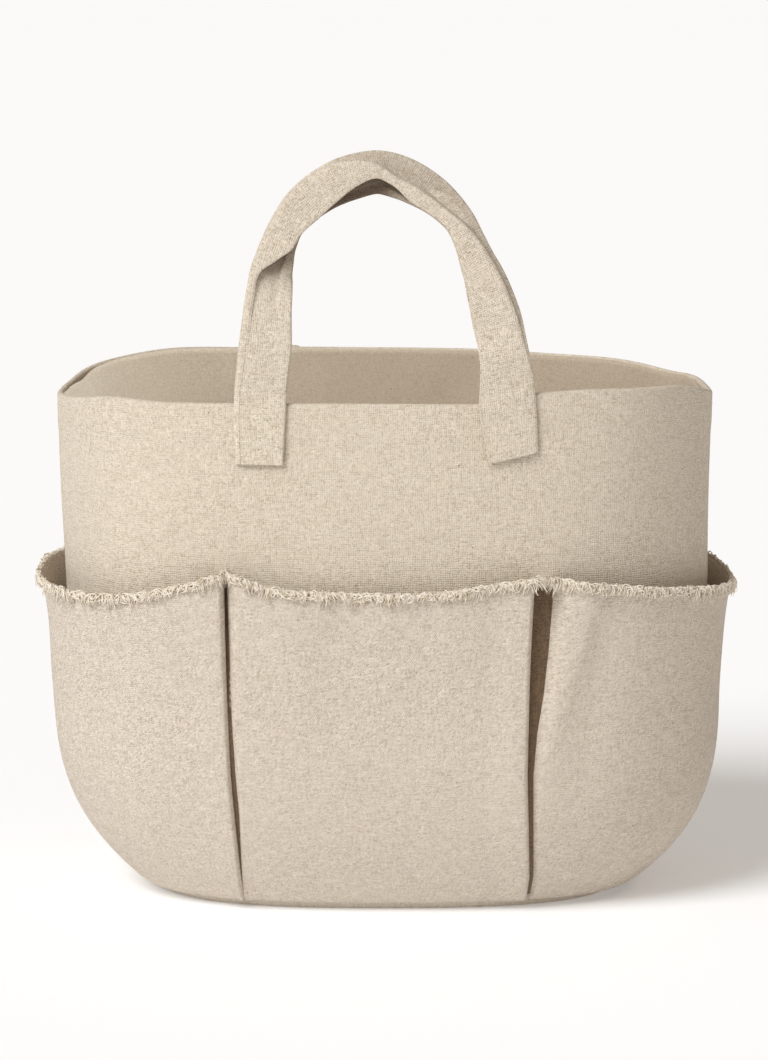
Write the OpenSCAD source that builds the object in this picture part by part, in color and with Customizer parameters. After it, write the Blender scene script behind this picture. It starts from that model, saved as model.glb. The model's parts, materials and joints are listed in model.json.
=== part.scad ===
// Fabric storage bin: a soft oval canvas body on a flat base, with a lining, a band of four
// raw-edged pockets folded into pleats where they meet, and two strap handles.
// Frame: +Z up, front towards -Y, origin at the centre of the base's underside.

/* [Body] */
// Width across the two side seams
body_w = 400; // [360:5:440]
// Depth from the front panel to the back panel
body_d = 280; // [260:5:310]
// Height of the rim at the middle of the front
body_h = 313; // [295:1:340]
// How much lower the rim hangs at the two sides
rim_dip = 8; // [0:1:12]
// Squareness of the oval plan, where 2 is an ellipse
plan_power = 2.7; // [2.2:0.1:3.2]

/* [Foot] */
// How far the ends of the body draw in at the floor
foot_inset_w = 60; // [40:2:70]
// How far the front and back draw in at the floor
foot_inset_d = 48; // [30:2:56]
// Height over which the body draws in
foot_rise = 125; // [110:5:140]
// How late the body draws in, where 1 is a straight slope
foot_power = 2.4; // [2:0.1:2.8]

/* [Cloth] */
// Thickness of the canvas
canvas_t = 1.6; // [1.2:0.1:1.8]
// Thickness of the lining cloth
lining_t = 0.8; // [0.6:0.1:1.0]
// Depth of the canvas facing turned in at the rim
facing_h = 22; // [15:1:30]

/* [Pockets] */
// Height of the front and back pockets at the middle of their mouths
pocket_h = 196; // [185:1:205]
// How much higher the mouths stand at the pleats
mouth_sag = 11; // [4:1:14]
// How much lower the side pockets' mouths are than the front's
side_drop = 7; // [0:1:10]
// Distance of each pleat from the middle of the front or back
pleat_x = 94; // [88:1:100]
// How far the mouths of the side pockets stand off the body
side_flare = 11; // [10:1:16]
// How far the mouths of the front and back pockets stand off the body
front_flare = 9; // [7:1:10]
// How far the mouths stand off the body at the pleats
pleat_flare = 5; // [4:1:6]
// Height above which the pockets leave the body
flare_start = 100; // [90:5:115]

/* [Handles] */
// Width of the strap
strap_w = 32.5; // [28:0.5:35]
// Thickness of the strap
strap_t = 3; // [2.4:0.2:3.2]
// Distance of each strap end from the middle
strap_x = 74; // [68:1:78]
// Height of the standing handle's crown above the rim
handle_rise = 148; // [140:1:156]
// Length of strap sewn down below the rim
tab_h = 37; // [30:1:45]
// Angle through which the back handle has dropped from upright
hang_angle = 171; // [168:1:172]

/* [Hidden] */

canvas_colour = "#dccfb9";
pocket_colour = "#d3c6b2";
lining_colour = "#b3a48f";
thread_colour = "#e6dcc8";

// Gap left between two layers of cloth that lie on each other
layer_gap = 0.3;
// Offsets from the body's outer wall: inside of the canvas, then both sides of the facing turned
// in at the rim and of the lining that covers it
canvas_in = -canvas_t;
facing_out = canvas_in - layer_gap;
facing_in = facing_out - canvas_t;
lining_out = facing_in - layer_gap;
lining_in = lining_out - lining_t;
// Depth below the rim at which the lining ends
lining_below = 2.5;
// Room between the body and a closed pocket, which holds one pleated layer of canvas
pocket_gap = canvas_t + 2 * layer_gap + 0.1;

// Plan angles: -90 is the middle of the front, 0 the right side seam and 90 the middle of the back
plan_steps = 72;

// Heights of the body's rows of points over the foot, closer together where the wall curves most
lining_floor = 3;
foot_rows = [0, lining_floor, 10, 20, 32, 46, 63, 83, foot_rise];
// Shares of the straight wall above the foot at which it has rows
wall_shares = [0.35, 0.7, 1];

// Pockets: their lower edge, the height of the edge turned in there, and the first of the foot's
// rows above it
pocket_z = 5;
pocket_turn_in = 4;
pocket_foot_row = 2;
// How fast the mouth flares: the power of the height above flare_start
flare_power = 1.7;
pleat_w = 13;
// Half the plan angle that a pleat's fold leaves open between two pockets
fold_turn = 1.1;

// Handle hinge lines: just outside the strap and far enough above the rim to clear it
strap_clearance = 0.7;
hinge_y = body_d / 2 + layer_gap + strap_t + strap_clearance;
hinge_z = body_h + strap_t + strap_clearance + 0.5;
// Width and thickness of the strap where it is folded double along the crown
crown_w = 26;
crown_t = 9;
// Heights above the rim between which the strap folds
fold_start = 35;
fold_end = 110;
arch_steps = 18;

// A stitch is a short bar of thread lying on the cloth
stitch_t = 0.5;
stitch_w = 0.7;

// ---- Shape of the walls ----

function signed_power(value, power) = sign(value) * pow(abs(value), power);

function mix(a, b, share) = a + (b - a) * share;

function smooth(share) = let (s = min(max(share, 0), 1)) s * s * (3 - 2 * s);

function spread(first, last, steps) = [for (i = [0:steps]) mix(first, last, i / steps)];

// How far the wall is drawn in at height z: 1 at the floor, 0 from foot_rise upwards
function draw_in(z) = z < foot_rise ? pow(1 - z / foot_rise, foot_power) : 0;

// Point at plan angle a and height z, moved out by off from the body's outer wall
function wall_point(a, z, off) = [
    (body_w / 2 + off - foot_inset_w * draw_in(z)) * signed_power(cos(a), 2 / plan_power),
    (body_d / 2 + off - foot_inset_d * draw_in(z)) * signed_power(sin(a), 2 / plan_power),
    z
];

// Plan angle at which the front wall (side -1) or back wall (side 1) passes a given x
function angle_at_x(x, side) =
    side * (90 - sign(x) * asin(pow(2 * abs(x) / body_w, plan_power / 2)));

// Direction of the wall in plan, as a turn about Z
function wall_turn(a, z) =
    let (step = wall_point(a + 0.5, z, 0) - wall_point(a - 0.5, z, 0)) atan2(step[1], step[0]);

function rim_z(a) = body_h - rim_dip * pow(cos(a), 2);

function wall_rows(a, first_row, top) = concat(
    [for (i = [first_row:len(foot_rows) - 1]) foot_rows[i]],
    [for (share = wall_shares) mix(foot_rise, top, share)]
);

// ---- Solids from grids of points ----

// Two triangles for each four-sided face
function split_quads(quads) = [for (q = quads) each [[q[0], q[1], q[2]], [q[0], q[2], q[3]]]];

// Closed sheet between an outer and an inner grid of points, each a list of rows from the bottom up
module sheet_solid(outer, inner) {
    rows = len(outer) - 1;
    cols = len(outer[0]) - 1;
    side = (rows + 1) * (cols + 1);
    points = concat([for (row = outer) each row], [for (row = inner) each row]);
    function o(r, c) = r * (cols + 1) + c;
    function i(r, c) = side + o(r, c);
    quads = concat(
        [for (r = [0:rows - 1], c = [0:cols - 1]) [o(r, c), o(r + 1, c), o(r + 1, c + 1), o(r, c + 1)]],
        [for (r = [0:rows - 1], c = [0:cols - 1]) [i(r, c + 1), i(r + 1, c + 1), i(r + 1, c), i(r, c)]],
        [for (c = [0:cols - 1]) [o(0, c), o(0, c + 1), i(0, c + 1), i(0, c)]],
        [for (c = [0:cols - 1]) [o(rows, c), i(rows, c), i(rows, c + 1), o(rows, c + 1)]],
        [for (r = [0:rows - 1]) [i(r, 0), i(r + 1, 0), o(r + 1, 0), o(r, 0)]],
        [for (r = [0:rows - 1]) [i(r, cols), o(r, cols), o(r + 1, cols), i(r + 1, cols)]]
    );
    polyhedron(points = points, faces = split_quads(quads), convexity = 6);
}

// Closed bar through a list of rings of points, with flat ends
module ring_solid(rings) {
    count = len(rings[0]);
    last = len(rings) - 1;
    function p(r, k) = r * count + k % count;
    quads = [for (r = [0:last - 1], k = [0:count - 1]) [p(r, k), p(r + 1, k), p(r + 1, k + 1), p(r, k + 1)]];
    ends = [[for (k = [0:count - 1]) p(0, k)], [for (k = [count - 1:-1:0]) p(last, k)]];
    polyhedron(points = [for (ring = rings) each ring], faces = concat(split_quads(quads), ends), convexity = 6);
}

// ---- Body, facing and lining ----

// Wall sheet between two plan angles, from a row of the foot up to a given depth below the rim
module wall_sheet(from, to, first_row, below_rim, out, in) {
    turns = spread(from, to, plan_steps * (to - from) / 360);
    rows = len(foot_rows) + len(wall_shares) - first_row;
    function row(r, off) = [
        for (a = turns) wall_point(a, wall_rows(a, first_row, rim_z(a) - below_rim)[r], off)
    ];
    sheet_solid([for (r = [0:rows - 1]) row(r, out)], [for (r = [0:rows - 1]) row(r, in)]);
}

module front_body_panel() { color(canvas_colour) wall_sheet(-180, 0, 0, 0, 0, canvas_in); }
module back_body_panel() { color(canvas_colour) wall_sheet(0, 180, 0, 0, 0, canvas_in); }

// Flat oval of cloth lying at height z inside the wall
module floor_sheet(z, off, thickness) {
    outline = [for (a = spread(0, 355, plan_steps - 1)) wall_point(a, z, off)];
    translate([0, 0, z]) linear_extrude(height = thickness) polygon([for (p = outline) [p[0], p[1]]]);
}

module base_panel() { color(canvas_colour) floor_sheet(0, canvas_in - layer_gap, canvas_t); }

// Canvas turned in at the rim, between two plan angles
module facing_half(from, to) {
    turns = spread(from, to, plan_steps / 2);
    function row(below, off) = [for (a = turns) wall_point(a, rim_z(a) - below, off)];
    function grid(off) = [row(facing_h, off), row(0, off)];
    color(canvas_colour) sheet_solid(grid(facing_out), grid(facing_in));
}

// The facing's two halves meet at the side seams
module rim_facing() {
    facing_half(-180, 0);
    facing_half(0, 180);
}

module lining_half(from, to) {
    color(lining_colour) wall_sheet(from, to, 1, lining_below, lining_out, lining_in);
}

module front_lining() { lining_half(-180, 0); }
module back_lining() { lining_half(0, 180); }

module base_lining() {
    color(lining_colour) floor_sheet(canvas_t + layer_gap, lining_in - layer_gap, lining_t);
}

// ---- Pockets and pleats ----

// Share of the full flare at height z
function flare_share(z) = pow(max(z - flare_start, 0) / (pocket_h - flare_start), flare_power);

// Inside of a pocket: u runs from -1 to 1 between its pleats, and flare is the reach at its middle
function pocket_off(u, z, flare) =
    pocket_gap + flare_share(z) * mix(flare, pleat_flare, u * u);

// Plan angle between a pleat and the middle of the front or back: the pleats stand upright
function pleat_turn(z) =
    asin(pow(pleat_x / (body_w / 2 - foot_inset_w * draw_in(z)), plan_power / 2));

// Pocket panel about a plan angle, over the front or back or round a side
module pocket(middle, is_side, steps) {
    flare = is_side ? side_flare : front_flare;
    low = is_side ? pocket_h - side_drop : pocket_h;
    power = is_side ? 4 : 2;
    edge_rows = [pocket_z, pocket_z + pocket_turn_in];
    function heights(u) = concat(edge_rows,
        wall_rows(0, pocket_foot_row, mix(low, pocket_h + mouth_sag, pow(abs(u), power))));
    function half_turn(z) = (is_side ? 90 - pleat_turn(z) : pleat_turn(z)) - fold_turn;
    function off(u, z, r) = r < len(edge_rows) ? 2 * layer_gap : pocket_off(u, z, flare);
    function row(r, is_out) = [
        for (u = spread(-1, 1, steps))
            let (z = heights(u)[r])
            wall_point(middle + u * half_turn(z), z, is_out ? pocket_off(u, z, flare) + canvas_t : off(u, z, r))
    ];
    rows = len(heights(0));
    color(pocket_colour)
        sheet_solid([for (r = [0:rows - 1]) row(r, true)], [for (r = [0:rows - 1]) row(r, false)]);
}

module front_pocket() { pocket(-90, false, 14); }
module back_pocket() { pocket(90, false, 14); }
module right_pocket() { pocket(0, true, 28); }
module left_pocket() { pocket(180, true, 28); }

// Channel of canvas behind the gap between two pockets, on one side (way -1 or 1) of the middle of
// the front or back: its web is sewn to the body and its legs reach out to the backs of the pockets
module pleat(middle, way) {
    half = pleat_w / 2;
    web_in = layer_gap;
    web_out = web_in + canvas_t;
    rows = wall_rows(0, pocket_foot_row, pocket_h + mouth_sag - 4);
    function ring(z) =
        let (reach = max(pocket_off(1, z, 0) - layer_gap, web_out + 0.05),
            a = middle + way * pleat_turn(z),
            foot = wall_point(a, z, 0),
            turn = wall_turn(a, z),
            along = [cos(turn), sin(turn), 0],
            outward = [sin(turn), -cos(turn), 0])
        [for (p = [[-half, web_in], [-half, reach], [canvas_t - half, reach], [canvas_t - half, web_out],
            [half - canvas_t, web_out], [half - canvas_t, reach], [half, reach], [half, web_in]])
            foot + along * p[0] + outward * p[1]];
    color(pocket_colour) ring_solid([for (z = rows) ring(z)]);
}

module front_left_pleat() { pleat(-90, -1); }
module front_right_pleat() { pleat(-90, 1); }
module back_left_pleat() { pleat(90, 1); }
module back_right_pleat() { pleat(90, -1); }

// ---- Handles ----

// Sewn end of a strap, lying on the front wall (side -1) or the back wall (side 1)
module tab(x, side) {
    edges = [for (share = [0:0.25:1]) angle_at_x(x + (share - 0.5) * strap_w, side)];
    turns = side < 0 ? edges : [for (i = [len(edges) - 1:-1:0]) edges[i]];
    function row(below, off) = [for (a = turns) wall_point(a, rim_z(a) - below, off)];
    function grid(off) = [for (below = [tab_h, tab_h / 2, 0]) row(below, off)];
    color(canvas_colour) sheet_solid(grid(layer_gap + strap_t), grid(layer_gap));
}

module front_left_tab() { tab(-strap_x, -1); }
module front_right_tab() { tab(strap_x, -1); }
module back_left_tab() { tab(-strap_x, 1); }
module back_right_tab() { tab(strap_x, 1); }

function bezier(p, t) =
    p[0] * pow(1 - t, 3) + p[1] * 3 * t * pow(1 - t, 2) + p[2] * 3 * t * t * (1 - t) + p[3] * pow(t, 3);

function bezier_way(p, t) =
    let (way = (p[1] - p[0]) * pow(1 - t, 2) + (p[2] - p[1]) * 2 * t * (1 - t) + (p[3] - p[2]) * t * t)
    way / norm(way);

// Middle line of the free strap as x and height above the rim: one curve up to the crown and one
// down. The left leg stands straighter than the right one.
strap_root = hinge_z - body_h + 1;
crown_z = handle_rise - crown_w / 2;
left_rise = [[-strap_x, strap_root], [-73, 110], [-55, crown_z], [-3, crown_z]];
right_fall = [[-3, crown_z], [46, crown_z - 2], [68, 80], [strap_x, strap_root]];

// Ring of the free strap about its hinge line: place on the middle line and way along it
function strap_ring(place, way) =
    let (folded = smooth((place[1] - fold_start) / (fold_end - fold_start)),
        half_w = mix(strap_w, crown_w, folded) / 2,
        half_t = mix(strap_t, crown_t, folded) / 2,
        middle = [place[0], strap_clearance + strap_t / 2, place[1] - (hinge_z - body_h)],
        outward = [-way[1], 0, way[0]])
    [for (p = [[1, -1], [1, 1], [-1, 1], [-1, -1]]) middle + outward * half_w * p[0] - [0, half_t * p[1], 0]];

// Free strap standing up from its hinge line, on the side away from the front
module handle_loop() {
    color(canvas_colour) ring_solid(concat(
        [for (i = [0:arch_steps - 1]) strap_ring(bezier(left_rise, i / arch_steps), bezier_way(left_rise, i / arch_steps))],
        [for (i = [0:arch_steps]) strap_ring(bezier(right_fall, i / arch_steps), bezier_way(right_fall, i / arch_steps))]
    ));
}

module front_handle() { translate([0, -hinge_y, hinge_z]) handle_loop(); }

module back_handle() {
    translate([0, hinge_y, hinge_z]) rotate([-hang_angle, 0, 0]) mirror([0, 1, 0]) handle_loop();
}

// ---- Stitching ----

// One stitch on the wall at plan angle a: turn 0 runs level along the wall, 90 runs up it
module stitch(a, z, off, length, turn) {
    translate(wall_point(a, z, off + stitch_t / 2 + 0.1)) rotate([0, 0, wall_turn(a, z)]) rotate([0, turn, 0])
        cube([length, stitch_t, stitch_w], center = true);
}

rim_stitches = 96;
rim_stitch_below = 8;

function under_a_tab(x) = abs(abs(x) - strap_x) < strap_w / 2 + 4;

module rim_stitching() {
    for (i = [0:rim_stitches - 1]) {
        a = (i + 0.5) * 360 / rim_stitches;
        x = wall_point(a, body_h, 0)[0];
        if (!under_a_tab(x))
            color(thread_colour) stitch(a, rim_z(a) - rim_stitch_below, 0, 5, 0);
    }
}

// Rectangle of stitches that holds one tab
module tab_stitches(x, side) {
    half = strap_w / 2 - 4;
    off = layer_gap + strap_t;
    for (below = [6, tab_h - 5], dx = [-9:6:9]) {
        a = angle_at_x(x + dx, side);
        color(thread_colour) stitch(a, rim_z(a) - below, off, 4, 0);
    }
    for (dx = [-half, half], below = [11:6:29]) {
        a = angle_at_x(x + dx, side);
        color(thread_colour) stitch(a, rim_z(a) - below, off, 4, 90);
    }
}

module handle_stitching() {
    for (side = [-1, 1], x = [-strap_x, strap_x]) tab_stitches(x, side);
}

module pleat_stitching() {
    for (middle = [-90, 90], way = [-1, 1], z = [foot_rise + 5:7:190])
        color(thread_colour) stitch(middle + way * pleat_turn(z), z, layer_gap + canvas_t, 4.5, 90);
}

base_stitches = 84;
// Extra room for the stitches at the foot, where the wall leans
foot_stitch_room = 0.5;

function near_a_pleat(x) = abs(abs(x) - pleat_x) < 10;

module base_stitching() {
    for (i = [0:base_stitches - 1]) {
        a = (i + 0.5) * 360 / base_stitches;
        z = pocket_z + pocket_turn_in / 2;
        if (!near_a_pleat(wall_point(a, z, 0)[0]))
            color(thread_colour) stitch(a, z, pocket_gap + canvas_t + foot_stitch_room, 5, 0);
    }
}

front_body_panel();
back_body_panel();
base_panel();
rim_facing();
front_lining();
back_lining();
base_lining();
front_pocket();
back_pocket();
left_pocket();
right_pocket();
front_left_pleat();
front_right_pleat();
back_left_pleat();
back_right_pleat();
front_left_tab();
front_right_tab();
back_left_tab();
back_right_tab();
front_handle();
back_handle();
rim_stitching();
handle_stitching();
pleat_stitching();
base_stitching();
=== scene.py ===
"""Fabric storage bin: the cloth, straps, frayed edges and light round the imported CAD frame.

Everything is in metres in the CAD frame: +Z up, front towards -Y, base on z = 0. The walls follow
the CAD model's formulas, with the small leans, bows and waves of soft cloth. Each piece of cloth is
a closed sheet of its real thickness.
"""

import json
import math

import bmesh
import bpy
import numpy as np
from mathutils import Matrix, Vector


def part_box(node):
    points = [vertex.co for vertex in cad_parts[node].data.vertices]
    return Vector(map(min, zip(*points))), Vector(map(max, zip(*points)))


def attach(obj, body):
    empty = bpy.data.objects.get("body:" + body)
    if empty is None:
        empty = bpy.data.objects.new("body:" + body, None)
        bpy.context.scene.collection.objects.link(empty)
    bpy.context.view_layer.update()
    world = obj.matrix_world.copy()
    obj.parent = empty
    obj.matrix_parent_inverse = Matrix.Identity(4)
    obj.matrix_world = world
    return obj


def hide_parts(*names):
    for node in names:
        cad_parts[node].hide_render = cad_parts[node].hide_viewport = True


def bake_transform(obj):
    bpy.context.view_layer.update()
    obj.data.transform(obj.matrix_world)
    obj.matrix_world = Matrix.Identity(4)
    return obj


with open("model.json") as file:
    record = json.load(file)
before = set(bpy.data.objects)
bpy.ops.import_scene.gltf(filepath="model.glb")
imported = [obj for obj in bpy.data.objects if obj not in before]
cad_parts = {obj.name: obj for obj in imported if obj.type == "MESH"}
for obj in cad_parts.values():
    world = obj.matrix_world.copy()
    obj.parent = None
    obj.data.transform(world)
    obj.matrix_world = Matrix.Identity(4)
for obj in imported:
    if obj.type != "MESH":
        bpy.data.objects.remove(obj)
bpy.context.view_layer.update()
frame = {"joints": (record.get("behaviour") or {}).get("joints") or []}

MM = 0.001

# ---- Sizes taken from the frame ----

body_low, body_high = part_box("front_body_panel")
HALF_W = body_high[0]
HALF_D = -body_low[1]
RIM_Z = body_high[2]
tab_low, tab_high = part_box("front_right_tab")
STRAP_X = (tab_low[0] + tab_high[0]) / 2
POCKET_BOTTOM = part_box("front_pocket")[0][2]
HINGE = {j["name"]: np.array(j["pos_m"]) for j in frame["joints"]}
FRONT_HINGE = HINGE["front_handle_swing"]
BACK_HINGE = HINGE["back_handle_swing"]

# ---- Sizes that the CAD model states ----

PLAN_POWER = 2.7
FOOT_IN_W = 60 * MM
FOOT_IN_D = 48 * MM
FOOT_RISE = 125 * MM
CANVAS = 1.6 * MM
LINING = 0.8 * MM
FACING_DEPTH = 22 * MM
POCKET_TOP = 196 * MM
MOUTH_SAG = 11 * MM
SIDE_DROP = 7 * MM
FLARE_START = 100 * MM
HANG_ANGLE = math.radians(171)

# ---- Sizes of the soft model ----

# How late the foot draws in, and how far the rim drops at the ends
FOOT_POWER = 2.6
RIM_DIP = 7.5 * MM

# How far the ends of the body lean in between the rim and the pockets, and stand in above them
END_LEAN = 2.4 * MM
END_GAP = 0.8 * MM

# How much rounder the back corners are at the rim, as a drop in PLAN_POWER
BACK_ROUNDING = 0.85

# Distance between two layers of cloth, and how far the lining ends below the rim
LAYER_GAP = 0.3 * MM
LINING_BELOW = 1 * MM

# How far the pockets stand off the wall, how late they leave it, and how much higher their mouths
# stand than the CAD model's
POCKET_GAP = 2.3 * MM
FLARE_POWER = 1.7
MOUTH_LIFT = 4.5 * MM

FRONT = -math.pi / 2
BACK = math.pi / 2
RIGHT = 0.0
LEFT = math.pi


# ---- Numbers ----

def signed_power(value, power):
    return np.sign(value) * np.abs(value) ** power


def smooth(value, start, end):
    """0 before start and 1 after end, with a soft change between them."""
    share = np.clip((value - start) / (end - start), 0, 1)
    return share * share * (3 - 2 * share)


def bell(value, middle, width):
    return np.exp(-(((value - middle) / width) ** 2))


def mix(a, b, share):
    return a + (b - a) * share


def unit(vectors):
    return vectors / (np.linalg.norm(vectors, axis=-1, keepdims=True) + 1e-12)


def running_length(points):
    """Length along a line of points up to each of them."""
    return np.concatenate([[0], np.cumsum(np.linalg.norm(np.diff(points, axis=0), axis=1))])


def path_length(points):
    return np.linalg.norm(np.diff(points, axis=0), axis=1).sum()


def climb(z, off):
    """Length up the cloth to each row of a grid of heights and offsets from the wall."""
    rise = np.hypot(np.diff(z, axis=0), np.diff(off, axis=0))
    return np.concatenate([0 * z[:1], np.cumsum(rise, axis=0)])


def ripples(seed, points, wave, stretch=(1, 1, 1), count=14):
    """Soft random waves of about -1 to 1 at points, a sum of sines of about one wavelength."""
    rng = np.random.default_rng(seed)
    places = np.asarray(points) / np.array(stretch)
    total = 0
    for _ in range(count):
        way = rng.normal(size=3)
        way *= 2 * math.pi / (wave * rng.uniform(0.6, 1.6)) / np.linalg.norm(way)
        total = total + np.sin(places @ way + rng.uniform(0, 2 * math.pi))
    return total / math.sqrt(count)


# ---- Shape of the walls ----

def draw_in(z):
    """How far the wall is drawn in at height z: 1 at the floor, 0 above the foot."""
    return np.clip(1 - z / FOOT_RISE, 0, 1) ** FOOT_POWER


def plan_power(a, z):
    """Squareness of the plan: the soft rim is rounder at its back corners than the foot is."""
    at_back = np.clip(np.sin(a), 0, 1) * np.abs(np.sin(2 * a))
    return PLAN_POWER - BACK_ROUNDING * at_back * smooth(z, FOOT_RISE, RIM_Z)


def wall(a, z, off):
    """Point of the wall at plan angle a and height z, moved out by off. The two ends lean in a
    little below the rim."""
    a, z, off = np.broadcast_arrays(a, z, off)
    power = 2 / plan_power(a, z)
    across, along = signed_power(np.cos(a), power), signed_power(np.sin(a), power)
    drawn = draw_in(z)
    half_w, half_d = HALF_W - FOOT_IN_W * drawn, HALF_D - FOOT_IN_D * drawn
    rest = np.stack([half_w * across, half_d * along, z], axis=-1)
    wave = 1.1 * MM * ripples(3, rest, 110 * MM, (1, 1, 1.6)) * smooth(z, 20 * MM, 120 * MM)
    lean = (END_LEAN * smooth(z, RIM_Z, POCKET_TOP) + END_GAP) * smooth(z, 130 * MM, 190 * MM)
    off = off + wave - lean * np.cos(a) ** 2
    return np.stack([(half_w + off) * across, (half_d + off) * along, z], axis=-1)


def rim_height(a):
    """Height of the rim: it drops to the two ends, sits higher from the front right strap to the
    right end, and bows up at the back left."""
    turn = (np.degrees(a) + 180) % 360 - 180
    ends = -RIM_DIP * np.cos(a) ** 8
    pulled_up = 6.2 * MM * smooth(turn, -81, -69) * smooth(turn, 3, -26)
    bow = 5.0 * MM * bell(turn, 138, 30) + 1.0 * MM * bell(turn, 90, 25)
    sag = -2.4 * MM * bell(turn, 28, 10) - 1.6 * MM * bell(turn, -127, 11)
    flat = np.stack([HALF_W * np.cos(a), HALF_D * np.sin(a), 0 * a], axis=-1)
    return RIM_Z + ends + pulled_up + bow + sag + 0.5 * MM * ripples(8, flat, 70 * MM)


# Length along the rim at each plan angle, and back
TURNS = np.radians(np.linspace(-360, 360, 7201))
ARC = running_length(wall(TURNS, RIM_Z, 0)[:, :2])


def arc_at(a):
    return np.interp(a, TURNS, ARC)


def turn_at(length):
    return np.interp(length, ARC, TURNS)


def even_turns(start, end, step):
    """Plan angles from start to end, about step apart along the rim."""
    first, last = arc_at(start), arc_at(end)
    return turn_at(np.linspace(first, last, 1 + round((last - first) / step)))


def turn_at_x(x, z, middle):
    """Plan angle at which the front or back wall passes x at height z."""
    half_w = HALF_W - FOOT_IN_W * draw_in(z)
    turn = np.arcsin(np.clip(np.abs(x) / half_w, 0, 1) ** (PLAN_POWER / 2))
    return middle - np.sign(middle) * np.sign(x) * turn


# ---- Meshes ----

def link(obj):
    bpy.context.scene.collection.objects.link(obj)
    return obj


def piece(name, points, faces, material, cloth=None, body="bag", shade=None):
    """Mesh object from an array of points and a list of face arrays, riding on a body. cloth is each
    point's place on the flat cloth, and shade how much painted shade darkens it where it lies deep in
    a fold, 0 to 1."""
    mesh = bpy.data.meshes.new(name)
    mesh.from_pydata(points.tolist(), [], [f for group in faces for f in group.tolist()])
    if cloth is not None:
        flat = mesh.attributes.new("cloth", "FLOAT_VECTOR", "POINT")
        flat.data.foreach_set("vector", cloth.astype(np.float32).ravel())
    if shade is not None:
        deep = mesh.attributes.new("shade", "FLOAT", "POINT")
        deep.data.foreach_set("value", shade.astype(np.float32).ravel())
    built = bmesh.new()
    built.from_mesh(mesh)
    bmesh.ops.recalc_face_normals(built, faces=built.faces)
    built.to_mesh(mesh)
    built.free()
    mesh.polygons.foreach_set("use_smooth", np.ones(len(mesh.polygons), bool))
    mesh.materials.append(material)
    obj = link(bpy.data.objects.new(name, mesh))
    if body:
        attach(obj, body)
    return obj


def grid_quads(rows, cols):
    corner = np.arange(rows - 1)[:, None] * cols + np.arange(cols - 1)[None, :]
    corner = corner.ravel()
    return np.stack([corner, corner + 1, corner + cols + 1, corner + cols], axis=1)


def shell(name, outer, inner, weft, warp, material):
    """Closed sheet of cloth between two grids of points, with rounded edges. weft and warp give
    each point's place on the flat cloth."""
    rows, cols = outer.shape[:2]
    index = np.arange(rows * cols).reshape(rows, cols)
    ring = np.concatenate([index[0, :-1], index[:-1, -1], index[-1, :0:-1], index[:0:-1, 0]])
    one_in = np.clip(index // cols, 1, rows - 2) * cols + np.clip(index % cols, 1, cols - 2)
    outer, inner = outer.reshape(-1, 3), inner.reshape(-1, 3)
    middle = (outer[ring] + inner[ring]) / 2
    away = unit(middle - (outer + inner)[one_in.ravel()[ring]] / 2)
    thick = np.linalg.norm(outer[ring] - inner[ring], axis=1, keepdims=True)
    edge = middle + away * thick * 0.45
    count = rows * cols
    quads = grid_quads(rows, cols)
    rim = 2 * count + np.arange(len(ring))
    after, rim_after = np.roll(ring, -1), np.roll(rim, -1)
    faces = [
        quads,
        quads[:, ::-1] + count,
        np.stack([ring, rim, rim_after, after], axis=1),
        np.stack([rim, ring + count, after + count, rim_after], axis=1),
    ]
    flat = np.stack(np.broadcast_arrays(weft, warp, 0.0), axis=-1).reshape(-1, 3)
    cloth = np.concatenate([flat, flat + [0.31, 0.17, 0], flat[ring]])
    return piece(name, np.concatenate([outer, inner, edge]), faces, material, cloth)


def ring_faces(rows, cols):
    """Faces of a closed body made of rows of rings, with cols points each."""
    here, there = np.arange(cols), (np.arange(cols) + 1) % cols
    row = np.arange(rows - 1)[:, None] * cols
    quads = np.stack([row + here, row + there, row + cols + there, row + cols + here], axis=-1)
    return [quads.reshape(-1, 4), here[None, ::-1], ((rows - 1) * cols + here)[None]]


# A direction that no yarn or stitch runs along
ACROSS = np.array([0.31, 0.52, 0.79])


def tubes(paths, radius, sides):
    """Points and faces of many closed tubes of the same number of points. paths is an array of
    (tube, point, 3) and radius one of (tube, point)."""
    count, length = paths.shape[:2]
    way = unit(np.gradient(paths, axis=1))
    side = unit(np.cross(way, ACROSS))
    other = np.cross(way, side)
    turns = np.arange(sides) * 2 * math.pi / sides
    radius = radius[:, :, None, None]
    ring = side[:, :, None] * np.cos(turns)[:, None] + other[:, :, None] * np.sin(turns)[:, None]
    points = (paths[:, :, None] + radius * ring).reshape(-1, 3)
    start = np.arange(count)[:, None, None] * length * sides
    row = start + np.arange(length - 1)[None, :, None] * sides
    here, there = np.arange(sides), (np.arange(sides) + 1) % sides
    quads = np.stack([row + here, row + there, row + sides + there, row + sides + here], axis=-1)
    first = start[:, 0] + here[::-1]
    last = start[:, 0] + (length - 1) * sides + here
    return points, [quads.reshape(-1, 4), first, last]


# ---- Materials ----

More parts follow.
